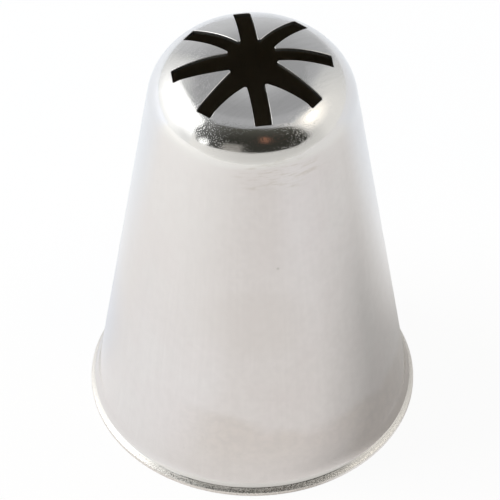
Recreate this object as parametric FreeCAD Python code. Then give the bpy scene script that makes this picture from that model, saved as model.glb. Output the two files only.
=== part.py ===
import FreeCAD, Part
import math
import os

# Piping nozzle pressed from one sheet of steel: a slotted dome, a tapered wall and a lip round the mouth.
# Millimetres. +Z is up, the lip stands on Z = 0, and the origin is at the centre of the mouth.

# Driving dimensions
SHEET = 0.5  # thickness of the steel, the same all over
HEIGHT = 50.0  # from the lip's underside to the top of the dome
RIM_RADIUS = 18.0  # out to the edge of the lip
LIP_WIDTH = 0.7  # how far the lip stands out from the wall
LIP_BEND = 0.4  # hollow corner between the lip and the wall
LIP_EDGE_ROUND = 0.2  # rounding of the lip's cut edge
WALL_ANGLE = 8.0  # degrees between the wall and the axis
SHOULDER_RADIUS = 5.9  # outside of the bend between the wall and the crown
CROWN_RADIUS = 18.0  # outside of the gently domed crown
SLIT_COUNT = 8
SLIT_WIDTH = 1.8
SLIT_RUN_OUT = 0.54  # how far each slit runs past the crown's edge, down onto the shoulder
SLIT_END_ROUND = 0.15  # corners at a slit's outer end
PETAL_TIP_ROUND = 0.23  # rounding of each petal's tip, seen from above
CREASE_RADIUS = 1.0  # outside of the crease at the root of a petal that is pressed in
FRONT_PETAL_RISE = -2.0  # degrees by which the two petals beside the front slit rise to their tips
SIDE_PETAL_RISE = 10.0  # the same for the petal to the left of them, which is pressed in less

FRONT = -90.0  # direction of the front slit in the XY plane, in degrees
FULL_TURN = 360.0
ORIGIN = FreeCAD.Vector(0, 0, 0)
UP = FreeCAD.Vector(0, 0, 1)
PARALLEL = 1e-6  # largest cross product of two directions that count as parallel


def place(radius, height):
    """A point of the half section, which lies in the XZ plane."""
    return FreeCAD.Vector(radius, 0, height)


def leaning(angle):
    """A unit vector of the half section that leans outward from +Z by an angle in radians."""
    return FreeCAD.Vector(math.sin(angle), 0, math.cos(angle))


# Outer face of the sheet: where its lines and arcs meet, with the outward normal at each meeting point.
wall_lean = math.pi / 2 - math.radians(WALL_ANGLE)
wall_normal = leaning(wall_lean)
wall_corner = place(RIM_RADIUS - LIP_WIDTH, SHEET)

crown_centre = place(0, HEIGHT - CROWN_RADIUS)


def shoulder_centre_from_crown():
    """The shoulder's centre: its arc touches the wall from inside and the crown from inside."""
    reach = CROWN_RADIUS - SHOULDER_RADIUS
    depth = (wall_corner - crown_centre).dot(wall_normal) - SHOULDER_RADIUS
    lean = wall_lean - math.acos(depth / reach)
    return crown_centre + leaning(lean) * reach, lean


shoulder_centre, crown_lean = shoulder_centre_from_crown()
crown_normal = leaning(crown_lean)
crown_edge = crown_centre + crown_normal * CROWN_RADIUS
wall_top = shoulder_centre + wall_normal * SHOULDER_RADIUS

bend_centre = wall_corner + place(LIP_BEND * math.tan(wall_lean / 2), LIP_BEND)
wall_foot = bend_centre - wall_normal * LIP_BEND
lip_start = bend_centre - UP * LIP_BEND

# Slits, seen from above
pitch = FULL_TURN / SLIT_COUNT
slit_reach = crown_edge.x + SLIT_RUN_OUT
sharp_tip_radius = SLIT_WIDTH / 2 / math.sin(math.radians(pitch / 2))

# Petals are counted from the front slit, anticlockwise seen from above.
pressed_rises = {0: FRONT_PETAL_RISE, SLIT_COUNT - 1: FRONT_PETAL_RISE, SLIT_COUNT - 2: SIDE_PETAL_RISE}


def inside(point, normal):
    """The point of the sheet's inner face that lies behind a point of its outer face."""
    return point - normal * SHEET


def line(start, end):
    return Part.LineSegment(start, end).toShape()


def arc(start, end, centre):
    """The short arc about a centre from one point to another."""
    towards_middle = ((start + end) / 2 - centre).normalize()
    middle = centre + towards_middle * (start - centre).Length
    return Part.Arc(start, middle, end).toShape()


def ring(edges, start=0.0, sweep=FULL_TURN):
    """Turns a closed outline of the half section about the axis."""
    solid = Part.Face(Part.Wire(edges)).revolve(ORIGIN, UP, sweep)
    solid.rotate(ORIGIN, UP, start)
    return solid


def rim_lip():
    """The bend at the mouth and the narrow flat lip, with its cut edge eased."""
    foot_inside = inside(wall_foot, wall_normal)
    underside_start = inside(lip_start, UP)
    edge_inset = RIM_RADIUS - LIP_EDGE_ROUND
    top_corner = place(edge_inset, SHEET - LIP_EDGE_ROUND)
    bottom_corner = place(edge_inset, LIP_EDGE_ROUND)
    top_flat_end = place(edge_inset, SHEET)
    edge_top = place(RIM_RADIUS, SHEET - LIP_EDGE_ROUND)
    edge_bottom = place(RIM_RADIUS, LIP_EDGE_ROUND)
    bottom_flat_end = place(edge_inset, 0)
    return ring([
        arc(wall_foot, lip_start, bend_centre),
        line(lip_start, top_flat_end),
        arc(top_flat_end, edge_top, top_corner),
        line(edge_top, edge_bottom),
        arc(edge_bottom, bottom_flat_end, bottom_corner),
        line(bottom_flat_end, underside_start),
        arc(underside_start, foot_inside, bend_centre),
        line(foot_inside, wall_foot),
    ])


def tapered_wall():
    """The plain cone between the lip's bend and the shoulder."""
    foot_inside = inside(wall_foot, wall_normal)
    top_inside = inside(wall_top, wall_normal)
    return ring([
        line(wall_foot, wall_top),
        line(wall_top, top_inside),
        line(top_inside, foot_inside),
        line(foot_inside, wall_foot),
    ])


def shoulder():
    """The bend from the wall to the edge of the crown."""
    top_inside = inside(wall_top, wall_normal)
    crown_inside = inside(crown_edge, crown_normal)
    return ring([
        arc(wall_top, crown_edge, shoulder_centre),
        line(crown_edge, crown_inside),
        arc(crown_inside, top_inside, shoulder_centre),
        line(top_inside, wall_top),
    ])


def petal(index):
    """One sector of the crown, up to the point where two slits meet, just inside the petal's rounded tip."""
    if index in pressed_rises:
        outline = pressed_outline(math.radians(pressed_rises[index]))
    else:
        outline = domed_outline()
    return ring(outline, FRONT + index * pitch, pitch)


def domed_outline():
    """Half section of a petal that follows the crown."""
    tip = place(sharp_tip_radius, crown_height(CROWN_RADIUS))
    tip_inside = place(sharp_tip_radius, crown_height(CROWN_RADIUS - SHEET))
    crown_inside = inside(crown_edge, crown_normal)
    return [
        arc(crown_edge, tip, crown_centre),
        line(tip, tip_inside),
        arc(tip_inside, crown_inside, crown_centre),
        line(crown_inside, crown_edge),
    ]


def crown_height(radius):
    """Height of the crown's outer or inner face where two slits meet."""
    return crown_centre.z + math.sqrt(radius ** 2 - sharp_tip_radius ** 2)


def pressed_outline(rise):
    """Half section of a petal that is creased at its root and runs straight to its tip."""
    normal = leaning(rise)
    crease_centre = crown_edge - crown_normal * CREASE_RADIUS
    crease_end = crease_centre + normal * CREASE_RADIUS
    crease_end_inside = inside(crease_end, normal)
    tip = straight_on(crease_end, rise)
    tip_inside = straight_on(crease_end_inside, rise)
    crown_inside = inside(crown_edge, crown_normal)
    return [
        arc(crown_edge, crease_end, crease_centre),
        line(crease_end, tip),
        line(tip, tip_inside),
        line(tip_inside, crease_end_inside),
        arc(crease_end_inside, crown_inside, crease_centre),
        line(crown_inside, crown_edge),
    ]


def straight_on(start, rise):
    """The point where two slits meet, on a straight line that rises towards the axis."""
    return place(sharp_tip_radius, start.z + (start.x - sharp_tip_radius) * math.tan(rise))


def star_cutter():
    """Upright bars, one per slit, joined where they meet: what the slits take out of the dome."""
    bars = []
    for index in range(SLIT_COUNT):
        bar = Part.makeBox(slit_reach, SLIT_WIDTH, HEIGHT + SHEET, FreeCAD.Vector(0, -SLIT_WIDTH / 2, 0))
        bar = bar.makeFillet(SLIT_END_ROUND, [edge for edge in upright(bar) if edge.CenterOfMass.x > 0])
        bar.rotate(ORIGIN, UP, FRONT + index * pitch)
        bars.append(bar)
    star = bars[0].fuse(bars[1:]).removeSplitter()
    halfway = (sharp_tip_radius + slit_reach) / 2
    petal_tips = [edge for edge in upright(star) if off_axis(edge) < halfway]
    return star.makeFillet(PETAL_TIP_ROUND, petal_tips)


def upright(solid):
    """The solid's edges that run straight up."""
    return [edge for edge in solid.Edges if edge.tangentAt(edge.FirstParameter).cross(UP).Length < PARALLEL]


def off_axis(edge):
    """How far an upright edge stands from the axis."""
    return math.hypot(edge.CenterOfMass.x, edge.CenterOfMass.y)


def slotted_dome():
    """Shoulder and crown, with the slits cut straight down through both."""
    star = star_cutter()
    petals = [petal(index).cut(star) for index in range(SLIT_COUNT)]
    return shoulder().cut(star).fuse(petals).removeSplitter()


os.makedirs("parts", exist_ok=True)
for name, make in {"slotted_dome": slotted_dome, "tapered_wall": tapered_wall, "rim_lip": rim_lip}.items():
    piece = make()
    print(name, "solids", len(piece.Solids), "valid", piece.isValid(), "volume", round(piece.Volume, 3))
    piece.exportStep(f"parts/{name}.step")
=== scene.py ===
import bmesh
import bpy
import math
from mathutils import Matrix, Vector


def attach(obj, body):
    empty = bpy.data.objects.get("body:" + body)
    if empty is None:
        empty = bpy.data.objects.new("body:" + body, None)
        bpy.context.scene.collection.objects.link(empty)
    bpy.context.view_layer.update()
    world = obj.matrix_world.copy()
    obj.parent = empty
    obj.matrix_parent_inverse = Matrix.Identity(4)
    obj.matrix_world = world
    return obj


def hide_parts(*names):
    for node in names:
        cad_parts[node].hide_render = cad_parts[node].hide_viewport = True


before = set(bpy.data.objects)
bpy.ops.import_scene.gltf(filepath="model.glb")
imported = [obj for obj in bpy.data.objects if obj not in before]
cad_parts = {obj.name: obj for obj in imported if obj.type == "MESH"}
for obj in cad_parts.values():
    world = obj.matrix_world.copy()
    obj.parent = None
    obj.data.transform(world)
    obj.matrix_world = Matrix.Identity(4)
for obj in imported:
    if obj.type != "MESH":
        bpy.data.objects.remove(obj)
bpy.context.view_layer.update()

# Piping nozzle pressed from one sheet of steel, in metres.
# The lip stands on Z = 0 and the front slit points along -Y.
MM = 0.001

# Sizes of the sheet, the same as the solids have
SHEET = 0.5 * MM
HEIGHT = 50.0 * MM
RIM_RADIUS = 18.0 * MM
LIP_WIDTH = 0.7 * MM
LIP_BEND = 0.4 * MM
WALL_ANGLE = math.radians(8.0)
SHOULDER_RADIUS = 5.9 * MM
CROWN_RADIUS = 18.0 * MM
SLIT_COUNT = 8
SLIT_WIDTH = 1.8 * MM
SLIT_RUN_OUT = 0.54 * MM
SLIT_END_ROUND = 0.15 * MM
PETAL_TIP_ROUND = 0.23 * MM
CREASE_RADIUS = 1.0 * MM
FRONT = math.radians(-90.0)

# Bows of the petals. A petal's lean is its slope outward and down.
TIP_LEAN = math.radians(18.0)
TIP_BOW = 10.2 * MM
FRONT_RIGHT_LEAN = math.radians(10.0)
FRONT_LEFT_LEAN = math.radians(8.0)
FRONT_BOW = 11.0 * MM
LEFT_LEAN = math.radians(14.0)
LEFT_BOW = 26.0 * MM

# Flare of the mouth: a wide bend from the wall, then a tighter curl that ends in an upright cut edge
CURL_LEAN = math.radians(62.0)
CURL_END_LEAN = math.radians(35.0)
CURL_RADIUS = 1.65 * MM
LIP_EDGE_HEIGHT = 0.5 * MM

# What polishing leaves of the cut edges
SLIT_EDGE_EASE = 0.08 * MM
LIP_EDGE_EASE = 0.1 * MM

# Fineness of the meshes
PETAL_COLUMNS = 24
SLIT_END_COLUMNS = 4
TIP_STEPS = 8
EDGE_STEPS = 40
CORNER_STEPS = 5
EASE_STEPS = 4
SHOULDER_STEPS = 18
WALL_STEPS = 20
BEND_STEPS = 12
CURL_STEPS = 4
LIP_EDGE_STEPS = 8
WELD = 1e-8

# Camera
CAMERA_AZIMUTH = math.radians(-7.9)
CAMERA_PITCH = math.radians(46.057)
CAMERA_DISTANCE = 590.2 * MM
CAMERA_LENS = 388.8
SENSOR_WIDTH = 36.0
AIM_RIGHT = -0.26 * MM
AIM_HEIGHT = 20.25 * MM
NEAREST_SEEN = 0.01
FARTHEST_SEEN = 10.0

# Material slots of each piece
OUTSIDE, INSIDE, CUT = range(3)


def leaning(angle):
    """A unit vector (outward, up) of the half section that leans outward from upright by an angle."""
    return Vector((math.sin(angle), math.cos(angle)))


def spaced(start, end, steps):
    """Evenly spaced values from start to end."""
    return [start + (end - start) * i / steps for i in range(steps + 1)]


def placed(name, data):
    """A new object in the scene."""
    made = bpy.data.objects.new(name, data)
    bpy.context.scene.collection.objects.link(made)
    return made


DOWN = leaning(math.pi)
NO_NORMAL = Vector((0.0, 0.0, 0.0))

# Half section of the outer face: where its lines and arcs meet
wall_lean = math.pi / 2 - WALL_ANGLE
wall_normal = leaning(wall_lean)
wall_corner = Vector((RIM_RADIUS - LIP_WIDTH, SHEET))
crown_centre = Vector((0.0, HEIGHT - CROWN_RADIUS))
crown_to_shoulder = CROWN_RADIUS - SHOULDER_RADIUS
shoulder_depth = (wall_corner - crown_centre).dot(wall_normal) - SHOULDER_RADIUS
crown_lean = wall_lean - math.acos(shoulder_depth / crown_to_shoulder)
shoulder_centre = crown_centre + leaning(crown_lean) * crown_to_shoulder
crown_edge = crown_centre + leaning(crown_lean) * CROWN_RADIUS
wall_top = shoulder_centre + wall_normal * SHOULDER_RADIUS

# The flare leaves the wall smoothly, and its radius follows from that. The two pieces meet on the curl.
edge_top = Vector((RIM_RADIUS - LIP_EDGE_EASE, LIP_EDGE_HEIGHT - LIP_EDGE_EASE))
edge_bottom = Vector((RIM_RADIUS - LIP_EDGE_EASE, LIP_EDGE_EASE))
curl_end = edge_top + leaning(CURL_END_LEAN) * LIP_EDGE_EASE
curl_centre = curl_end + leaning(CURL_END_LEAN) * CURL_RADIUS
flare_turn = math.cos(wall_lean - CURL_LEAN)
curl_off_wall = (curl_centre - wall_corner).dot(wall_normal)
flare_radius = (curl_off_wall - CURL_RADIUS * flare_turn) / (1 - flare_turn)
flare_centre = curl_centre + leaning(CURL_LEAN) * (flare_radius - CURL_RADIUS)
wall_foot = flare_centre - wall_normal * flare_radius
joint_height = SHEET + LIP_BEND * (1 - math.cos(wall_lean))
joint_lean = math.acos((curl_centre.y - joint_height) / CURL_RADIUS)

# Slits seen from above
pitch = 2 * math.pi / SLIT_COUNT
half_pitch = pitch / 2
half_width = SLIT_WIDTH / 2
slit_reach = crown_edge.x + SLIT_RUN_OUT

# Petals that are creased at their roots, by the lean past the crease and the bow from there to the tip.
# Petals are counted from the front slit, anticlockwise seen from above.
pressed_petals = {
    0: (FRONT_RIGHT_LEAN, FRONT_BOW),
    SLIT_COUNT - 1: (FRONT_LEFT_LEAN, FRONT_BOW),
    SLIT_COUNT - 2: (LEFT_LEAN, LEFT_BOW),
}


def dome_arcs(petal):
    """Arcs from the shoulder to a petal's tip, each as the lean where it begins and its radius."""
    if petal in pressed_petals:
        return [(crown_lean, CREASE_RADIUS), pressed_petals[petal]]
    return [(crown_lean, CROWN_RADIUS), (TIP_LEAN, TIP_BOW)]


def dome_face(radius, petal, depth):
    """Height and outward normal of the dome at a distance from the axis and a depth in the sheet."""
    centre, size = shoulder_centre, SHOULDER_RADIUS
    for lean, next_size in dome_arcs(petal):
        if radius > centre.x + (size - depth) * math.sin(lean):
            break
        centre = centre + leaning(lean) * (size - next_size)
        size = next_size
    lean = math.asin((radius - centre.x) / (size - depth))
    return centre.y + (size - depth) * math.cos(lean), leaning(lean)


class Sheet:
    """Gathers grids of points with their normals and welds them into one closed mesh."""

    def __init__(self):
        self.index = {}
        self.points = []
        self.normals = []
        self.faces = []
        self.finishes = []

    def vertex(self, point, normal):
        key = tuple(round(value / WELD) for value in point)
        if key not in self.index:
            self.index[key] = len(self.points)
            self.points.append(point)
            self.normals.append(NO_NORMAL.copy())
        place = self.index[key]
        self.normals[place] += normal
        return place

    def grid(self, rows, finish):
        """Joins rows of (point, normal) by faces. Where points coincide, a face loses a corner."""
        rows = [[self.vertex(*place) for place in row] for row in rows]
        for row, following in zip(rows, rows[1:]):
            for i in range(len(row) - 1):
                corners = [row[i], row[i + 1], following[i + 1], following[i]]
                face = [corner for k, corner in enumerate(corners) if corner != corners[k - 1]]
                if len(face) > 2:
                    self.faces.append(face)
                    self.finishes.append(finish)

    def piece(self, name, materials):
        """The finished object, smooth all over, with the true normals of its curves."""
        mesh = bpy.data.meshes.new(name)
        mesh.from_pydata(self.points, [], self.faces)
        mesh.polygons.foreach_set("material_index", self.finishes)
        for material in materials:
            mesh.materials.append(material)
        shape = bmesh.new()
        shape.from_mesh(mesh)
        bmesh.ops.recalc_face_normals(shape, faces=shape.faces)
        shape.to_mesh(mesh)
        shape.free()
        mesh.shade_smooth()
        mesh.normals_split_custom_set_from_vertices([normal.normalized() for normal in self.normals])
        return placed(name, mesh)


def turned(radius, height, angle):
    """A point of the half section carried round the axis."""
    return Vector((radius * math.cos(angle), radius * math.sin(angle), height))


def turned_rows(path, angles):
    """Rows of a turned surface along a path of (place, normal) in the half section."""
    return [[(turned(*place, angle), turned(*normal, angle)) for angle in angles] for place, normal in path]


def hidden_ring(first, second, angles):
    """The face that one zone of the sheet turns to the next. It never shows, so it has no normals."""
    return [[(turned(*place, angle), NO_NORMAL) for angle in angles] for place in (first, second)]


def straight(start, end, normal, steps):
    """Evenly spaced places on a line, all with one normal."""
    return [(start.lerp(end, share), normal) for share in spaced(0.0, 1.0, steps)]


def bend(centre, radius, start, end, steps):
    """An arc between two leans. A radius below zero makes a hollow."""
    return [(centre + leaning(lean) * radius, leaning(lean)) for lean in spaced(start, end, steps)]


def behind(path):
    """The sheet's inner face behind a path on its outer face."""
    return [(place - normal * SHEET, -normal) for place, normal in path]


def rounding(centre, radius, start, end, steps, facing):
    """Places round a corner seen from above, each with a way out of the arc (facing 1) or into it (-1)."""
    ways = [Vector((math.cos(angle), math.sin(angle))) for angle in spaced(start, end, steps)]
    return [(centre + way * radius, way * facing) for way in ways]


def half_slit():
    """Half a slit's outline, from the petal's tip to the slit's end and then along half of that end.

    Both stretches are lists of (point, way out). The slit lies along +X.
    The way out points from the metal into the slit.
    """
    tip_distance = (half_width + PETAL_TIP_ROUND) / math.sin(half_pitch)
    tip_centre = Vector((tip_distance * math.cos(half_pitch), half_width + PETAL_TIP_ROUND))
    corner_centre = Vector((slit_reach - SLIT_END_ROUND, half_width - SLIT_END_ROUND))
    tip = rounding(tip_centre, PETAL_TIP_ROUND, math.pi + half_pitch, 1.5 * math.pi, TIP_STEPS, 1)
    corner = rounding(corner_centre, SLIT_END_ROUND, math.pi / 2, 0.0, CORNER_STEPS, -1)
    edge = straight(tip[-1][0], corner[0][0], Vector((0.0, -1.0)), EDGE_STEPS)
    middle = Vector((slit_reach, 0.0))
    end = straight(corner[-1][0], middle, Vector((-1.0, 0.0)), SLIT_END_COLUMNS // 2)
    return tip + edge[1:-1] + corner, end


petal_side, slit_end = half_slit()


def polar(point):
    """Distance from the axis and angle round it."""
    return point.length, math.atan2(point.y, point.x)


def petal_rows(petal, depth, facing):
    """Rows across one petal, each at one distance from the axis, from its tip to the ends of its slits."""
    middle = FRONT + (petal + 0.5) * pitch
    rows = []
    for point, way in petal_side:
        radius, angle = polar(point - way * SLIT_EDGE_EASE)
        height, normal = dome_face(radius, petal, depth)
        reach = half_pitch - angle
        row = []
        for side in spaced(-1.0, 1.0, PETAL_COLUMNS):
            around = middle + side * reach
            row.append((turned(radius, height, around), turned(*(normal * facing), around)))
        rows.append(row)
    return rows


def slit_end_row(slit, depth, facing):
    """Points along the outer end of one slit, at the inner border of its eased edge."""
    middle = FRONT + slit * pitch
    places = [polar(point - way * SLIT_EDGE_EASE) for point, way in slit_end]
    places = [(radius, -angle) for radius, angle in places] + places[-2::-1]
    row = []
    for radius, angle in places:
        height, normal = dome_face(radius, None, depth)
        row.append((turned(radius, height, middle + angle), turned(*(normal * facing), middle + angle)))
    return row


def dome_surface(sheet, depth, facing, finish):
    """One face of the dome: the petals, then the ring that carries them, down to the top of the wall."""
    border = []
    for petal in range(SLIT_COUNT):
        rows = petal_rows(petal, depth, facing)
        sheet.grid(rows, finish)
        border += rows[-1][:-1] + slit_end_row(petal + 1, depth, facing)[:-1]
    border.append(border[0])
    angles = [math.atan2(point.y, point.x) for point, normal in border]
    widest = max(math.hypot(point.x, point.y) for point, normal in border)
    first_lean = math.asin((widest - shoulder_centre.x) / (SHOULDER_RADIUS - depth))
    ring = bend(shoulder_centre, SHOULDER_RADIUS - depth, first_lean, wall_lean, SHOULDER_STEPS)[1:]
    path = [(place, normal * facing) for place, normal in ring]
    sheet.grid([border] + turned_rows(path, angles), finish)
    return angles


def eased_edge(point, way, petal):
    """Section through a slit's edge: the eased outer corner, the cut, then the eased inner corner."""
    section = []
    turns = spaced(0.0, math.pi / 2, EASE_STEPS)
    for depth, facing, order in ((0.0, 1.0, turns), (SHEET, -1.0, turns[::-1])):
        for turn in order:
            place = point - way * SLIT_EDGE_EASE * (1 - math.sin(turn))
            height, normal = dome_face(place.length, petal, depth)
            height -= facing * SLIT_EDGE_EASE * (1 - math.cos(turn))
            outward = place.normalized() * normal.x * facing
            upright = Vector((outward.x, outward.y, normal.y * facing))
            eased_normal = upright * math.cos(turn) + way.to_3d() * math.sin(turn)
            section.append((place.to_3d() + Vector((0, 0, height)), eased_normal))
    return section


def slit_edges(sheet):
    """The cut edges, in one band along the whole star."""
    outline = petal_side + slit_end[1:]
    mirror = Matrix(((1.0, 0.0), (0.0, -1.0)))
    band = []
    for slit in range(SLIT_COUNT):
        spin = Matrix.Rotation(FRONT + slit * pitch, 3, "Z")
        there = [(point, way, slit) for point, way in outline]
        back = [(mirror @ point, mirror @ way, (slit - 1) % SLIT_COUNT) for point, way in outline]
        for point, way, petal in back + there[::-1][1:]:
            section = eased_edge(point, way, petal)
            band.append([(spin @ place, spin @ normal) for place, normal in section])
    band.append(band[0])
    corner = EASE_STEPS + 1
    sheet.grid([row[:corner] for row in band], OUTSIDE)
    sheet.grid([row[corner - 1:corner + 1] for row in band], CUT)
    sheet.grid([row[corner:] for row in band], INSIDE)


def slotted_dome():
    """Petals and shoulder, and the angles of the columns, which the other pieces share."""
    sheet = Sheet()
    angles = dome_surface(sheet, 0.0, 1.0, OUTSIDE)
    dome_surface(sheet, SHEET, -1.0, INSIDE)
    slit_edges(sheet)
    sheet.grid(hidden_ring(wall_top, wall_top - wall_normal * SHEET, angles), CUT)
    return sheet, angles


def tapered_wall(angles):
    """The cone, and the flare at its foot."""
    sheet = Sheet()
    outer = straight(wall_top, wall_foot, wall_normal, WALL_STEPS)
    outer += bend(flare_centre, -flare_radius, wall_lean, CURL_LEAN, BEND_STEPS)[1:]
    outer += bend(curl_centre, -CURL_RADIUS, CURL_LEAN, joint_lean, CURL_STEPS)[1:]
    inner = behind(outer)
    sheet.grid(turned_rows(outer, angles), OUTSIDE)
    sheet.grid(turned_rows(inner, angles), INSIDE)
    sheet.grid(hidden_ring(outer[0][0], inner[0][0], angles), CUT)
    sheet.grid(hidden_ring(outer[-1][0], inner[-1][0], angles), CUT)
    return sheet


def rim_lip(angles):
    """The curl at the flare's end, with its upright cut edge and the narrow ring that it stands on."""
    sheet = Sheet()
    curl = bend(curl_centre, -CURL_RADIUS, joint_lean, CURL_END_LEAN, BEND_STEPS)
    edge = bend(edge_top, LIP_EDGE_EASE, CURL_END_LEAN, math.pi / 2, LIP_EDGE_STEPS)
    edge += bend(edge_bottom, LIP_EDGE_EASE, math.pi / 2, math.pi, LIP_EDGE_STEPS)
    inner = behind(curl)
    inner_end, inner_normal = inner[-1]
    foot = Vector((inner_end.x + inner_end.y / math.tan(CURL_END_LEAN), 0.0))
    sheet.grid(turned_rows(curl[:-1] + edge + [(foot, DOWN)], angles), OUTSIDE)
    sheet.grid(turned_rows([(foot, inner_normal)] + inner[::-1], angles), INSIDE)
    sheet.grid(hidden_ring(curl[0][0], inner[0][0], angles), CUT)
    return sheet


class Graph:
    """A node tree, with short ways to add nodes and join them."""

    def __init__(self, tree):
        self.tree = tree
        tree.nodes.clear()

    def node(self, kind, inputs=None, **settings):
        made = self.tree.nodes.new(kind)
        for name, value in settings.items():
            setattr(made, name, value)
        for key, value in (inputs or {}).items():
            if isinstance(value, bpy.types.NodeSocket):
                self.tree.links.new(value, made.inputs[key])
            else:
                made.inputs[key].default_value = value
        return made

    def math(self, operation, first, second=0.0):
        return self.node("ShaderNodeMath", {0: first, 1: second}, operation=operation).outputs[0]

    def plus(self, first, second):
        return self.math("ADD", first, second)

    def less(self, first, second):
        return self.math("SUBTRACT", first, second)

    def times(self, *values):
        """The product of two or more values."""
        product = values[0]
        for value in values[1:]:
            product = self.math("MULTIPLY", product, value)
        return product

    def largest(self, *values):
        """The largest of two or more values."""
        found = values[0]
        for value in values[1:]:
            found = self.math("MAXIMUM", found, value)
        return found

    def squares(self, first, second):
        """The sum of two squares."""
        return self.plus(self.times(first, first), self.times(second, second))

    def length(self, first, second):
        """Length of a vector, from its two parts."""
        return self.math("SQRT", self.squares(first, second))

    def ramp(self, value, low, high, start=0.0, end=1.0):
        """Goes smoothly from start to end while a value goes from low to high."""
        inputs = {"Value": value, "From Min": low, "From Max": high, "To Min": start, "To Max": end}
        return self.node("ShaderNodeMapRange", inputs, interpolation_type="SMOOTHSTEP").outputs[0]

    def split(self, vector):
        return self.node("ShaderNodeSeparateXYZ", {0: vector}).outputs

    def joined(self, x, y, z):
        return self.node("ShaderNodeCombineXYZ", {0: x, 1: y, 2: z}).outputs[0]

    def noise(self, vector, scale=1.0, detail=3.0, roughness=0.6):
        inputs = {"Vector": vector, "Scale": scale, "Detail": detail, "Roughness": roughness}
        return self.node("ShaderNodeTexNoise", inputs).outputs["Fac"]

    def voronoi(self, vector, scale):
        """Distance to the nearest of many scattered points, as a share of their spacing."""
        return self.node("ShaderNodeTexVoronoi", {"Vector": vector, "Scale": scale}).outputs["Distance"]

    def blend_value(self, share, first, second):
        """Mixes two numbers."""
        return self.node("ShaderNodeMix", {0: share, 2: first, 3: second}, data_type="FLOAT").outputs[0]

    def blend(self, share, first, second):
        """Mixes two colours."""
        return self.node("ShaderNodeMix", {0: share, 6: first, 7: second}, data_type="RGBA").outputs[2]

    def layers(self, ground, shares_and_colours):
        """Lays colours over a ground, one after the other, each by its share."""
        for share, colour in shares_and_colours:
            ground = self.blend(share, ground, colour)
        return ground

    def bump(self, height, distance, normal=None):
        inputs = {"Height": height, "Distance": distance, "Strength": 1.0}
        if normal is not None:
            inputs["Normal"] = normal
        return self.node("ShaderNodeBump", inputs).outputs[0]

    def finish(self, shader):
        self.node("ShaderNodeOutputMaterial", {"Surface": shader.outputs[0]})

    def metal(self, tone, roughness, normal):
        """Finishes a material as bare metal."""
        self.finish(self.node("ShaderNodeBsdfPrincipled", {
            "Base Color": tone,
            "Metallic": 1.0,
            "Roughness": roughness,
            "Normal": normal,
        }))


def new_material(name):
    material = bpy.data.materials.new(name)
    material.use_nodes = True
    return material, Graph(material.node_tree)


def around_axis(graph):
    """Direction from the axis to the point being shaded, as parts along X and Y, and the point's height."""
    x, y, z = graph.split(graph.node("ShaderNodeTexCoord").outputs["Object"])
    distance = graph.length(x, y)
    return graph.math("DIVIDE", x, distance), graph.math("DIVIDE", y, distance), z


def stretched(graph, across, up):
    """A place on the nozzle with its own scales round the axis and along it, which make long streaks."""
    x, y, z = around_axis(graph)
    return graph.joined(graph.times(x, across), graph.times(y, across), graph.times(z, up))


# Colours of the steel
STEEL_DARK = (0.763, 0.742, 0.736, 1.0)
STEEL_LIGHT = (0.793, 0.776, 0.774, 1.0)
BRUSHED = (0.7, 0.679, 0.678, 1.0)
# Painted shade on the foot of the wall, for the shaded floor that it mirrors
FOOT_PAINTED_SHADE = (0.727, 0.691, 0.668, 1.0)
TINTED = (0.745, 0.702, 0.702, 1.0)
MOTTLED = (0.62, 0.598, 0.592, 1.0)
WORN_LIP = (0.79, 0.758, 0.73, 1.0)
STAINED = (0.7, 0.675, 0.655, 1.0)
SCUFFED = (0.58, 0.54, 0.48, 1.0)
WIPED = (0.69, 0.675, 0.665, 1.0)
PITTED = (0.42, 0.4, 0.37, 1.0)
# Inside: drawing marks in a darker, browner tone that is painted shade of the hollow
DRAWN_DARK_AND_PAINTED_SHADE = (0.52, 0.465, 0.375, 1.0)
DRAWN_LIGHT_AND_PAINTED_SHADE = (0.66, 0.6, 0.5, 1.0)
PUNCHED_DARK = (0.42, 0.41, 0.39, 1.0)
PUNCHED_LIGHT = (0.58, 0.57, 0.55, 1.0)

# Most that a mark shows of its colour
BRUSHING = 0.22
TINTING = 0.3
MOTTLING_LEFT = 0.09
MOTTLING = 0.16
# On the foot the mottle is stronger and deepens the foot's painted shade
MOTTLING_AND_SHADE_ON_FOOT = 0.38
STAINING = 0.28
SCUFFING = 0.6
WIPING = 0.24
PITTING = 0.6

# Roughness, from 0 for a mirror
SATIN = 0.16
BRIGHT = 0.07
SPECKLED = 0.5
SMEARED_MORE = 0.02
DRAWN = (0.38, 0.5)
PUNCHED = (0.3, 0.5)

# Depths of the relief
DOME_GRAIN_DEPTH = 0.0105 * MM
LIP_GRAIN_DEPTH = 0.014 * MM
STREAK_DEPTH = 0.003 * MM
TURN_DEPTH = 0.003 * MM
TOOL_MARK_DEPTH = 0.01 * MM

# Fineness of marks, per metre
GRAIN = 6600.0
SPECKS = 7600.0
BLOTCHES = 130.0
MOTTLE = 1100.0
PITS = 150.0
WIPES = 2600.0
PUNCH_LINES = 12000.0

# Fineness of stretched marks, round the axis and along it
STREAKS = (95.0, 60.0)
TURNS = (2.0, 2600.0)
SMEARS = (4.0, 120.0)
SCUFFS = (5.0, 2400.0)
DRAW_MARKS = (60.0, 180.0)

# Way of the wipes over the crown, and how fine wipes and punch lines are along their length, as a share
WIPE_WAY = (0.82, 0.57)
WIPE_STRETCH = 0.09
PUNCH_STRETCH = 0.1

# Where the finish and the foot's painted shade change, by height
DOME_BORDER = (HEIGHT - 9.0 * MM, HEIGHT - 5.5 * MM)
GRAIN_BORDER = (HEIGHT - 4.6 * MM, HEIGHT - 3.4 * MM)
CROWN_BORDER = (HEIGHT - 3.4 * MM, HEIGHT - 2.2 * MM)
LIP_BORDER = (1.8 * MM, 1.0 * MM)
LIP_WEAR_BORDER = (0.92 * MM, 0.8 * MM)
FOOT_BORDER = (12.2 * MM, 10.2 * MM)
FOOT_FADE = (1.5 * MM, 7.5 * MM)
STAIN_TOP = (28.4 * MM, 27.2 * MM)
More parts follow.
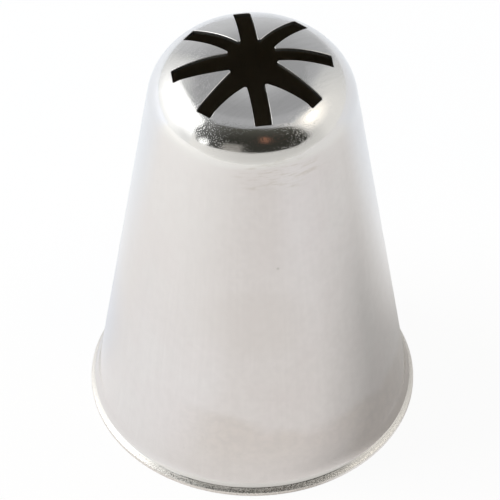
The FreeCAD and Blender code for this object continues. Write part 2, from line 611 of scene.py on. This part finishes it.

# The border of the foot's painted shade is ragged. It falls from the left to a place right of the front,
# then runs level.
FOOT_SLANT = 5.0 * MM
FOOT_SLANT_END = 0.2
FOOT_RAGGEDNESS = 5.0 * MM

# Middles and half sizes of oval marks, by the place round the axis and the height
STAIN = (-0.12, 23.5 * MM), (0.5, 6.0 * MM)
SCUFF = (0.12, HEIGHT - 7.2 * MM), (0.5, 2.6 * MM)

# Place round the axis where the dome's grain is weakest
WEAK_GRAIN_MIDDLE = -0.03


class OutsideSteel:
    """Zones and marks of the outside: a bright dome and lip with a fine grain, and a satin wall.

    Zones and marks are shares from 0 to 1.
    A place round the axis is counted from -1 at the left, over 0 at the front, to 1 at the right.
    """

    def __init__(self, graph):
        self.graph = graph
        self.place = graph.node("ShaderNodeTexCoord").outputs["Object"]
        self.around, rearward, self.height = around_axis(graph)
        self.in_front = graph.ramp(rearward, 0.1, -0.1)
        self.dome = graph.ramp(self.height, *DOME_BORDER)
        self.crown = graph.ramp(self.height, *CROWN_BORDER)
        self.bright = graph.largest(self.dome, graph.ramp(self.height, *LIP_BORDER))
        self.wall = graph.less(1.0, self.bright)
        self.lip_wear = graph.ramp(self.height, *LIP_WEAR_BORDER)
        self.specks = graph.voronoi(self.place, SPECKS)
        self.streaks = graph.noise(stretched(graph, *STREAKS))
        self.smears = graph.noise(stretched(graph, *SMEARS), roughness=0.5)
        self.blotches = graph.noise(self.place, BLOTCHES)

    def oval(self, middle, size):
        """An oval mark on the front of the wall, with a soft border."""
        graph = self.graph
        across = graph.math("DIVIDE", graph.less(self.around, middle[0]), size[0])
        along = graph.math("DIVIDE", graph.less(self.height, middle[1]), size[1])
        return graph.times(graph.ramp(graph.squares(across, along), 1.0, 0.2), self.in_front)

    def brushing(self):
        return self.graph.times(self.wall, self.graph.ramp(self.streaks, 0.35, 0.65, 0.0, BRUSHING))

    def foot(self):
        """Painted shade on the foot below a ragged border. It fades to the left, and to the lip except at
        the right.
        """
        graph = self.graph
        slant = graph.times(graph.math("MINIMUM", self.around, FOOT_SLANT_END), FOOT_SLANT)
        raggedness = graph.times(self.blotches, FOOT_RAGGEDNESS)
        below = graph.ramp(graph.plus(graph.plus(self.height, slant), raggedness), *FOOT_BORDER)
        off_left = graph.ramp(self.around, -0.78, -0.25)
        off_lip = graph.ramp(self.height, *FOOT_FADE, 0.25, 1.0)
        at_right = graph.ramp(self.around, 0.35, 0.65)
        return graph.times(below, off_left, graph.largest(off_lip, at_right))

    def tint(self):
        return self.graph.times(self.wall, self.graph.ramp(self.blotches, 0.4, 0.7, 0.0, TINTING))

    def mottle(self, foot):
        """A fine, even mottle on the wall, stronger on the foot, where it deepens the foot's painted shade.
        """
        graph = self.graph
        upper = graph.ramp(self.around, -0.6, -0.1, MOTTLING_LEFT, MOTTLING)
        strength = graph.blend_value(foot, upper, MOTTLING_AND_SHADE_ON_FOOT)
        marks = graph.ramp(graph.noise(self.place, MOTTLE, roughness=0.7), 0.35, 0.65)
        return graph.times(self.wall, strength, marks)

    def stain(self):
        below = self.graph.ramp(self.height, *STAIN_TOP, 0.0, STAINING)
        return self.graph.times(self.oval(*STAIN), below)

    def scuffs(self):
        """Short level scratches under the shoulder."""
        scratches = self.graph.noise(stretched(self.graph, *SCUFFS), detail=4.0, roughness=0.7)
        return self.graph.times(self.graph.ramp(scratches, 0.47, 0.68), self.oval(*SCUFF), SCUFFING)

    def wipes(self):
        """Long marks of a polishing cloth on the crown."""
        graph = self.graph
        x, y = graph.split(self.place)[:2]
        along = graph.plus(graph.times(x, WIPE_WAY[0]), graph.times(y, WIPE_WAY[1]))
        across = graph.less(graph.times(y, WIPE_WAY[0]), graph.times(x, WIPE_WAY[1]))
        marks = graph.noise(graph.joined(graph.times(along, WIPE_STRETCH), across, 0.0), WIPES)
        return graph.times(self.crown, graph.ramp(marks, 0.42, 0.62, 0.0, WIPING))

    def pits(self):
        """Few and small dark pits."""
        return self.graph.ramp(self.graph.voronoi(self.place, PITS), 0.012, 0.03, PITTING, 0.0)

    def tone(self):
        foot = self.foot()
        return self.graph.layers(self.graph.blend(self.smears, STEEL_DARK, STEEL_LIGHT), [
            (self.brushing(), BRUSHED),
            # painted shade on the foot
            (foot, FOOT_PAINTED_SHADE),
            (self.tint(), TINTED),
            (self.mottle(foot), MOTTLED),
            (self.lip_wear, WORN_LIP),
            (self.stain(), STAINED),
            (self.scuffs(), SCUFFED),
            (self.wipes(), WIPED),
            (self.pits(), PITTED),
        ])

    def roughness(self):
        """Satin on the wall and bright elsewhere, with dull specks on the lip, and rougher in smears."""
        graph = self.graph
        dull_specks = graph.times(self.lip_wear, graph.ramp(self.specks, 0.46, 0.58))
        polished = graph.blend_value(dull_specks, BRIGHT, SPECKLED)
        unsmeared = graph.blend_value(self.bright, SATIN, polished)
        return graph.plus(unsmeared, graph.times(self.smears, SMEARED_MORE))

    def dome_grain(self):
        """Fine grain of the dome, weaker on the crown, low on the shoulder and in mid front."""
        graph = self.graph
        grain = graph.ramp(graph.voronoi(self.place, GRAIN), 0.0, 0.45)
        on_dome = graph.blend_value(self.crown, self.dome, 0.6)
        upper = graph.ramp(self.height, *GRAIN_BORDER, 0.3, 1.0)
        off_middle = graph.math("ABSOLUTE", graph.less(self.around, WEAK_GRAIN_MIDDLE))
        return graph.times(grain, upper, on_dome, graph.ramp(off_middle, 0.08, 0.34, 0.45, 1.0))

    def normal(self):
        lip_grain = self.graph.times(self.lip_wear, self.graph.ramp(self.specks, 0.0, 0.5))
        turns = self.graph.noise(stretched(self.graph, *TURNS), roughness=0.55)
        normal = self.graph.bump(self.dome_grain(), DOME_GRAIN_DEPTH)
        normal = self.graph.bump(lip_grain, LIP_GRAIN_DEPTH, normal)
        normal = self.graph.bump(self.streaks, STREAK_DEPTH, normal)
        return self.graph.bump(turns, TURN_DEPTH, normal)


def polished_steel():
    """Outside of the nozzle."""
    material, graph = new_material("polished_steel")
    outside = OutsideSteel(graph)
    graph.metal(outside.tone(), outside.roughness(), outside.normal())
    return material


def drawn_steel():
    """Inside of the nozzle: duller, with the marks of the punch that drew it, in a darker, browner tone
    that is painted shade of the hollow.
    """
    material, graph = new_material("drawn_steel")
    marks = graph.noise(stretched(graph, *DRAW_MARKS), detail=4.0)
    tone = graph.blend(marks, DRAWN_DARK_AND_PAINTED_SHADE, DRAWN_LIGHT_AND_PAINTED_SHADE)
    graph.metal(tone, graph.ramp(marks, 0.3, 0.7, *DRAWN), graph.bump(marks, TOOL_MARK_DEPTH))
    return material


def punched_steel():
    """Cut edges of the slits: upright lines that the punch leaves in the sheet."""
    material, graph = new_material("punched_steel")
    x, y, z = graph.split(graph.node("ShaderNodeTexCoord").outputs["Object"])
    lines = graph.noise(graph.joined(x, y, graph.times(z, PUNCH_STRETCH)), PUNCH_LINES, detail=2.0)
    tone = graph.blend(lines, PUNCHED_DARK, PUNCHED_LIGHT)
    graph.metal(tone, graph.ramp(lines, 0.3, 0.7, *PUNCHED), graph.bump(lines, TOOL_MARK_DEPTH))
    return material


def from_camera(azimuth, elevation=0.0):
    """A direction from the nozzle, by its angle to the right of the camera and its angle above level."""
    turn = azimuth + CAMERA_AZIMUTH
    level = math.cos(elevation)
    return Vector((math.sin(turn) * level, -math.cos(turn) * level, math.sin(elevation)))


TO_RIGHT = from_camera(math.pi / 2)
TO_CAMERA = from_camera(0.0)


def in_studio(side, front, up):
    """A place in the studio, by how far it is to the camera's right, towards the camera, and up."""
    return TO_RIGHT * side + TO_CAMERA * front + Vector((0.0, 0.0, up))


def add_camera():
    data = bpy.data.cameras.new("camera")
    camera = placed("camera", data)
    back = from_camera(0.0, CAMERA_PITCH)
    camera.location = in_studio(AIM_RIGHT, 0.0, AIM_HEIGHT) + back * CAMERA_DISTANCE
    camera.rotation_euler = (-back).to_track_quat("-Z", "Y").to_euler()
    data.sensor_width = SENSOR_WIDTH
    data.lens = CAMERA_LENS
    data.clip_start = NEAREST_SEEN
    data.clip_end = FARTHEST_SEEN
    bpy.context.scene.camera = camera


def studio_place(graph):
    """Place of the point being shaded: to the camera's right, towards the camera, and up."""
    place = graph.node("ShaderNodeNewGeometry").outputs["Position"]
    inputs = {"Vector": place, "Angle": -CAMERA_AZIMUTH}
    spun = graph.node("ShaderNodeVectorRotate", inputs, rotation_type="Z_AXIS")
    side, away, up = graph.split(spun.outputs[0])
    return side, graph.times(away, -1.0), up


def off_spot(graph, first, second, middle):
    """Distance on the floor or on a card from the middle of a spot."""
    return graph.length(graph.less(first, middle[0]), graph.less(second, middle[1]))


WHITE = (1.0, 1.0, 1.0, 1.0)

# Floor
FLOOR_RADIUS = 3.0
FLOOR_SIDES = 96
SHADOW_REACH = 0.12
SHADOW_START = 0.4 * SHADOW_REACH
CAMERA_WHITE = 0.94
MIRRORED_WHITE = 0.1
AXIS = (0.0, 0.0)

# Tones of the floor, with painted shade and painted cool light that the steel mirrors
FLOOR_MIDDLE = (0.985, 0.967, 0.95, 1.0)
FLOOR_FAR = (0.97, 0.97, 0.945, 1.0)
# Painted cool light behind the nozzle, and painted shade close behind its left, in front of it and to its
# right
FLOOR_BACK_COOL_LIGHT = (0.915, 0.95, 1.0, 1.0)
FLOOR_BEHIND_LEFT_SHADE = (0.81, 0.85, 0.93, 1.0)
FLOOR_NEAR_SHADE = (0.87, 0.835, 0.815, 1.0)
FLOOR_RIGHT_SHADE = (0.94, 0.915, 0.915, 1.0)

# Spots of painted shade and of glow on the floor, to the camera's right and towards it
NEAR_SHADE_SPOT = (0.02, 0.06)
RIGHT_SHADE_SPOT = (0.06, 0.06)
SMALL_GLOW_SPOT = (0.061, 0.014)

# Most that each glow on the floor adds of white
LIP_GLOW = 0.5
RIGHT_GLOW = 0.35
SMALL_GLOW = 0.16
UNDER_LIP_GLOW = 0.8


def floor_tone_and_painted_shade(graph, side, front, distance):
    """Pale, a little warmer in front of the nozzle, with painted cool light behind it and painted shade
    close behind its left, in front of it and to its right.
    """
    far = graph.ramp(distance, 0.06, 0.12)
    back = graph.ramp(front, -0.005, -0.04)
    close_behind = graph.times(graph.ramp(front, 0.004, -0.01), graph.ramp(distance, 0.036, 0.018))
    # painted shade close behind the nozzle's left, in front of it and to its right
    shade_behind_left = graph.times(close_behind, graph.ramp(side, -0.006, -0.016))
    near = graph.ramp(off_spot(graph, side, front, NEAR_SHADE_SPOT), 0.1, 0.02)
    right = graph.ramp(off_spot(graph, side, front, RIGHT_SHADE_SPOT), 0.05, 0.01)
    return graph.layers(FLOOR_MIDDLE, [
        (far, FLOOR_FAR),
        (back, FLOOR_BACK_COOL_LIGHT),
        (shade_behind_left, FLOOR_BEHIND_LEFT_SHADE),
        (near, FLOOR_NEAR_SHADE),
        (right, FLOOR_RIGHT_SHADE),
    ])


def floor_glow(graph, side, front, distance):
    """Lamplight on the floor that the steel mirrors: beside the lip, to the right, and under the lip."""
    by_lip = graph.times(graph.ramp(side, -0.008, -0.02), graph.ramp(distance, 0.06, 0.03))
    by_lip = graph.times(by_lip, graph.ramp(front, -0.008, 0.006), LIP_GLOW)
    right = graph.ramp(side, 0.06, 0.2, 0.0, RIGHT_GLOW)
    small = graph.ramp(off_spot(graph, side, front, SMALL_GLOW_SPOT), 0.027, 0.006, 0.0, SMALL_GLOW)
    under_lip = graph.times(graph.ramp(distance, 0.019, 0.0184), graph.ramp(front, 0.003, 0.009))
    under_lip = graph.times(under_lip, graph.ramp(side, 0.006, 0.011, 0.0, UNDER_LIP_GLOW))
    return graph.largest(by_lip, right, small, under_lip)


def add_floor():
    """A pale floor. The camera sees it nearly white, and it keeps a trace of the nozzle's shadow."""
    mesh = bpy.data.meshes.new("floor")
    shape = bmesh.new()
    bmesh.ops.create_circle(shape, cap_ends=True, segments=FLOOR_SIDES, radius=FLOOR_RADIUS)
    shape.to_mesh(mesh)
    shape.free()
    floor = placed("floor", mesh)
    material, graph = new_material("floor")
    material.cycles.emission_sampling = "NONE"
    side, front = studio_place(graph)[:2]
    distance = off_spot(graph, side, front, AXIS)
    rays = graph.node("ShaderNodeLightPath").outputs
    white_share = graph.ramp(distance, SHADOW_START, SHADOW_REACH, CAMERA_WHITE, 1.0)
    seen = graph.times(rays["Is Camera Ray"], white_share)
    mirrored = graph.plus(rays["Is Glossy Ray"], rays["Is Transmission Ray"])
    glow = graph.plus(floor_glow(graph, side, front, distance), MIRRORED_WHITE)
    outside = graph.ramp(distance, RIM_RADIUS - LIP_WIDTH, RIM_RADIUS)
    share = graph.times(graph.plus(seen, graph.times(mirrored, glow)), outside)
    lit = graph.node("ShaderNodeBsdfDiffuse", {"Color": floor_tone_and_painted_shade(graph, side, front, distance)})
    white = graph.node("ShaderNodeEmission", {"Color": WHITE, "Strength": 1.0})
    graph.finish(graph.node("ShaderNodeMixShader", {0: share, 1: lit.outputs[0], 2: white.outputs[0]}))
    mesh.materials.append(material)


def add_card(name, corners, paint):
    """One flat side of the light tent. The camera looks through it.

    Paint gives its brightness from a place on it: to the camera's right, towards the camera, and up.
    """
    mesh = bpy.data.meshes.new(name)
    mesh.from_pydata([in_studio(*corner) for corner in corners], [], [range(len(corners))])
    card = placed(name, mesh)
    material, graph = new_material(name)
    colour = paint(graph, *studio_place(graph))
    graph.finish(graph.node("ShaderNodeEmission", {"Color": colour, "Strength": 1.0}))
    mesh.materials.append(material)
    card.visible_camera = False


def shade(brightness, tint):
    """A colour of the tent, by its brightness and its tint."""
    return (*(brightness * channel for channel in tint), 1.0)


# Light tent, measured from the axis as the camera sees it
TENT_SIDE = 0.5
TENT_BACK = -0.72
TENT_FRONT = 0.24
TENT_TOP = 0.75

# Tints of its cloth and of the room in front of it
COOL = (0.972, 1.0, 1.015)
PALE = (0.98, 1.0, 0.98)
WARM = (1.0, 1.0, 0.955)
GLOWING = (1.033, 1.0, 0.91)
DIM = (1.0, 1.0, 0.83)

# Dark gap between the left side, the roof and the front
GAP = shade(0.25, PALE)

# Left side
LEFT_LOW = shade(1.22, PALE)
LEFT_HIGH = shade(1.55, PALE)
LEFT_LAMP = shade(3.5, PALE)
LEFT_FAR_LOW = shade(0.86, PALE)
LEFT_FAR_HIGH = shade(1.05, PALE)
LEFT_LOW_CORNER = shade(0.97, PALE)
LEFT_UNDER_ROOF = shade(0.46, COOL)
LEFT_LAMP_SPOT = (-0.05, 0.36)

# Right side
RIGHT_FAR = shade(0.7, PALE)
RIGHT_MIDDLE = shade(0.9, WARM)
RIGHT_NEAR = shade(0.73, WARM)
RIGHT_HALO = shade(1.35, GLOWING)
RIGHT_LAMP = shade(2.0, GLOWING)
RIGHT_UNDER_ROOF = shade(0.5, COOL)
RIGHT_LAMP_SPOT = (0.06, 0.47)

# Roof
ROOF_FAR = shade(0.39, COOL)
ROOF_NEAR = shade(0.48, COOL)
ROOF_LIT_CORNER = shade(1.28, PALE)
ROOF_RIGHT = shade(0.75, COOL)

# Back
BACK_HIGH = shade(0.43, COOL)
BACK_LOW = shade(0.68, COOL)
BACK_RIGHT = shade(0.38, COOL)
BACK_LEFT = shade(0.82, PALE)

# Front
SILL_LEFT = shade(1.0, WARM)
SILL_RIGHT = shade(0.69, WARM)
SILL_FOOT = shade(0.95, WARM)
ROOM_LOW = shade(0.04, DIM)
ROOM_HIGH = shade(0.09, DIM)
ROOM_LEFT = shade(0.22, PALE)
ROOM_LAMP = shade(1.6, PALE)
ROOM_PANEL = shade(0.33, GLOWING)
ROOM_WARM = (0.26, 0.13, 0.085, 1.0)
FLAP_MIDDLE = shade(0.43, COOL)
FLAP_END_LOW = shade(0.6, WARM)
FLAP_END_HIGH = shade(0.88, WARM)
ROOM_LAMP_SPOT = (-0.3, 0.14)
ROOM_WARM_SPOT = (0.065, 0.125)


def past(graph, value, border):
    """How far a value lies past a border, or nothing before it."""
    return graph.largest(graph.less(value, border), 0.0)


def left_paint(graph, side, front, up):
    """Cloth with the lamp behind it. It fades to the back, along the floor and under the roof."""
    near = graph.blend(graph.ramp(up, 0.0, 0.2), LEFT_LOW, LEFT_HIGH)
    lamp = graph.ramp(off_spot(graph, front, up, LEFT_LAMP_SPOT), 0.24, 0.1)
    far = graph.ramp(front, -0.22, -0.7)
    far_cloth = graph.blend(graph.ramp(up, 0.3, 0.6), LEFT_FAR_LOW, LEFT_FAR_HIGH)
    low_corner = graph.times(graph.ramp(front, 0.0, 0.17), graph.ramp(up, 0.24, 0.06))
    under_roof = graph.times(graph.ramp(up, 0.56, 0.72), graph.ramp(front, -0.4, -0.28))
    slanted = graph.plus(front, graph.times(past(graph, up, 0.54), 0.33))
    gap = graph.times(graph.ramp(slanted, 0.215, 0.23), graph.ramp(up, 0.26, 0.3))
    return graph.layers(near, [
        (lamp, LEFT_LAMP),
        (far, far_cloth),
        (low_corner, LEFT_LOW_CORNER),
        (under_roof, LEFT_UNDER_ROOF),
        (gap, GAP),
    ])


def right_paint(graph, side, front, up):
    """Dimmer cloth with a small lamp behind it. It fades to the back, to the front and under the roof."""
    cloth = graph.blend(graph.ramp(front, -0.65, -0.1), RIGHT_FAR, RIGHT_MIDDLE)
    near = graph.ramp(front, 0.06, 0.2)
    off_lamp = off_spot(graph, front, up, RIGHT_LAMP_SPOT)
    slanted = graph.less(up, graph.times(front, 0.75))
    near_top = graph.times(graph.ramp(slanted, 0.6, 0.72), graph.ramp(front, -0.3, -0.1))
    steep = graph.less(up, graph.times(front, 0.9))
    under_roof = graph.largest(near_top, graph.ramp(steep, 0.94, 1.14))
    return graph.layers(cloth, [
        (near, RIGHT_NEAR),
        (graph.ramp(off_lamp, 0.3, 0.08), RIGHT_HALO),
        (graph.ramp(off_lamp, 0.12, 0.04), RIGHT_LAMP),
        (under_roof, RIGHT_UNDER_ROOF),
    ])


def roof_paint(graph, side, front, up):
    """Unlit cloth, a little lighter to the front, with the left side's light on its far left corner."""
    cloth = graph.blend(graph.ramp(front, -0.6, 0.24), ROOF_FAR, ROOF_NEAR)
    lit_corner = graph.times(graph.ramp(side, -0.22, -0.46), graph.ramp(front, -0.15, -0.6))
    right = graph.times(graph.ramp(side, 0.41, 0.52), graph.ramp(front, -0.2, 0.24))
    gap = graph.times(graph.ramp(side, -0.41, -0.45), graph.ramp(front, 0.15, 0.18))
    return graph.layers(cloth, [(lit_corner, ROOF_LIT_CORNER), (right, ROOF_RIGHT), (gap, GAP)])


def back_paint(graph, side, front, up):
    """Unlit cloth, lighter along the floor and beside the lit left side."""
    cloth = graph.blend(graph.ramp(up, 0.7, 0.0), BACK_HIGH, BACK_LOW)
    right = graph.times(graph.ramp(side, -0.1, 0.2, 0.0, 0.45), graph.ramp(up, 0.0, 0.15))
    left = graph.ramp(side, -0.38, -0.5)
    return graph.layers(cloth, [(right, BACK_RIGHT), (left, BACK_LEFT)])


def room_paint(graph, side, up):
    """The dark room that shows through the front, with a lamp and a panel at the left and a warm spot."""
    room = graph.blend(graph.ramp(up, 0.2, 0.5), ROOM_LOW, ROOM_HIGH)
    left = graph.ramp(side, -0.08, -0.5)
    lamp = graph.ramp(off_spot(graph, side, up, ROOM_LAMP_SPOT), 0.065, 0.045)
    panel = graph.times(graph.ramp(side, -0.16, -0.12), graph.ramp(side, -0.03, -0.06))
    panel = graph.times(panel, graph.ramp(up, 0.195, 0.165))
    half_up = graph.times(up, 0.5)
    warm = graph.ramp(off_spot(graph, side, half_up, ROOM_WARM_SPOT), 0.036, 0.012)
    return graph.layers(room, [
        (left, ROOM_LEFT),
        (lamp, ROOM_LAMP),
        (panel, ROOM_PANEL),
        (warm, ROOM_WARM),
    ])


def front_paint(graph, side, front, up):
    """The camera's side: a low lit sill, an opening into the room, and a flap above it and to its right."""
    sill = graph.blend(graph.ramp(side, -0.42, 0.08), SILL_LEFT, SILL_RIGHT)
    sill = graph.blend(graph.ramp(up, 0.06, 0.0, 0.0, 0.4), sill, SILL_FOOT)

    flap_end = graph.blend(graph.ramp(up, 0.2, 0.5), FLAP_END_LOW, FLAP_END_HIGH)
    flap = graph.blend(graph.ramp(side, 0.1, 0.5), FLAP_MIDDLE, flap_end)
    leftward = graph.times(side, -1.0)
    left_rise = graph.times(past(graph, leftward, 0.07), 0.5)
    above = graph.ramp(graph.less(up, left_rise), 0.51, 0.55)
    right_slant = graph.plus(side, graph.times(up, 0.48))
    beside = graph.largest(graph.ramp(right_slant, 0.5, 0.7), graph.ramp(side, 0.37, 0.48))
    upper = graph.blend(graph.largest(above, beside), room_paint(graph, side, up), flap)

    right_rise = graph.times(past(graph, side, 0.25), 0.3)
    left_end_rise = graph.times(past(graph, leftward, 0.37), 1.4)
    over_sill = graph.less(up, graph.plus(right_rise, left_end_rise))
    return graph.blend(graph.ramp(over_sill, 0.099, 0.106), sill, upper)


def upright_corners(start, end):
    """Corners of an upright card between two places of the floor plan."""
    return [(*start, 0.0), (*end, 0.0), (*end, TENT_TOP), (*start, TENT_TOP)]


def add_tent():
    """A light tent whose left side is lit by a strong lamp, with a dark opening on the camera's side."""
    back_left, back_right = (-TENT_SIDE, TENT_BACK), (TENT_SIDE, TENT_BACK)
    front_left, front_right = (-TENT_SIDE, TENT_FRONT), (TENT_SIDE, TENT_FRONT)
    add_card("tent_left", upright_corners(back_left, front_left), left_paint)
    add_card("tent_right", upright_corners(back_right, front_right), right_paint)
    add_card("tent_back", upright_corners(back_left, back_right), back_paint)
    add_card("tent_front", upright_corners(front_left, front_right), front_paint)
    plan = (back_left, back_right, front_right, front_left)
    add_card("tent_roof", [(*corner, TENT_TOP) for corner in plan], roof_paint)


# Lamp
LAMP_GAP = 0.01
LAMP_FRONT = (-0.24, 0.16)
LAMP_HEIGHT = (0.27, 0.66)
LAMP_RADIANCE = 6.35
LAMP_COLOUR = (1.0, 0.99, 1.0)


def add_lamp():
    """The soft lamp at the tent's left side."""
    data = bpy.data.lights.new("lamp", "AREA")
    data.shape = "RECTANGLE"
    data.size = LAMP_FRONT[1] - LAMP_FRONT[0]
    data.size_y = LAMP_HEIGHT[1] - LAMP_HEIGHT[0]
    data.energy = math.pi * data.size * data.size_y * LAMP_RADIANCE
    data.color = LAMP_COLOUR
    lamp = placed("lamp", data)
    lamp.location = in_studio(LAMP_GAP - TENT_SIDE, sum(LAMP_FRONT) / 2, sum(LAMP_HEIGHT) / 2)
    lamp.rotation_euler = TO_RIGHT.to_track_quat("-Z", "Y").to_euler()
    lamp.visible_camera = False
    lamp.visible_glossy = False


def add_world():
    """White all round, outside the tent."""
    world = bpy.data.worlds.new("studio")
    bpy.context.scene.world = world
    world.use_nodes = True
    graph = Graph(world.node_tree)
    background = graph.node("ShaderNodeBackground", {"Color": WHITE, "Strength": 1.0})
    graph.node("ShaderNodeOutputWorld", {"Surface": background.outputs[0]})


bpy.context.scene.view_settings.view_transform = "Standard"
steel = [polished_steel(), drawn_steel(), punched_steel()]
dome, angles = slotted_dome()
sheets = {"slotted_dome": dome, "tapered_wall": tapered_wall(angles), "rim_lip": rim_lip(angles)}
for name, sheet in sheets.items():
    piece = sheet.piece(name + "_steel", steel)
    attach(piece, "root")
    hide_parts(name)
add_camera()
add_floor()
add_tent()
add_lamp()
add_world()
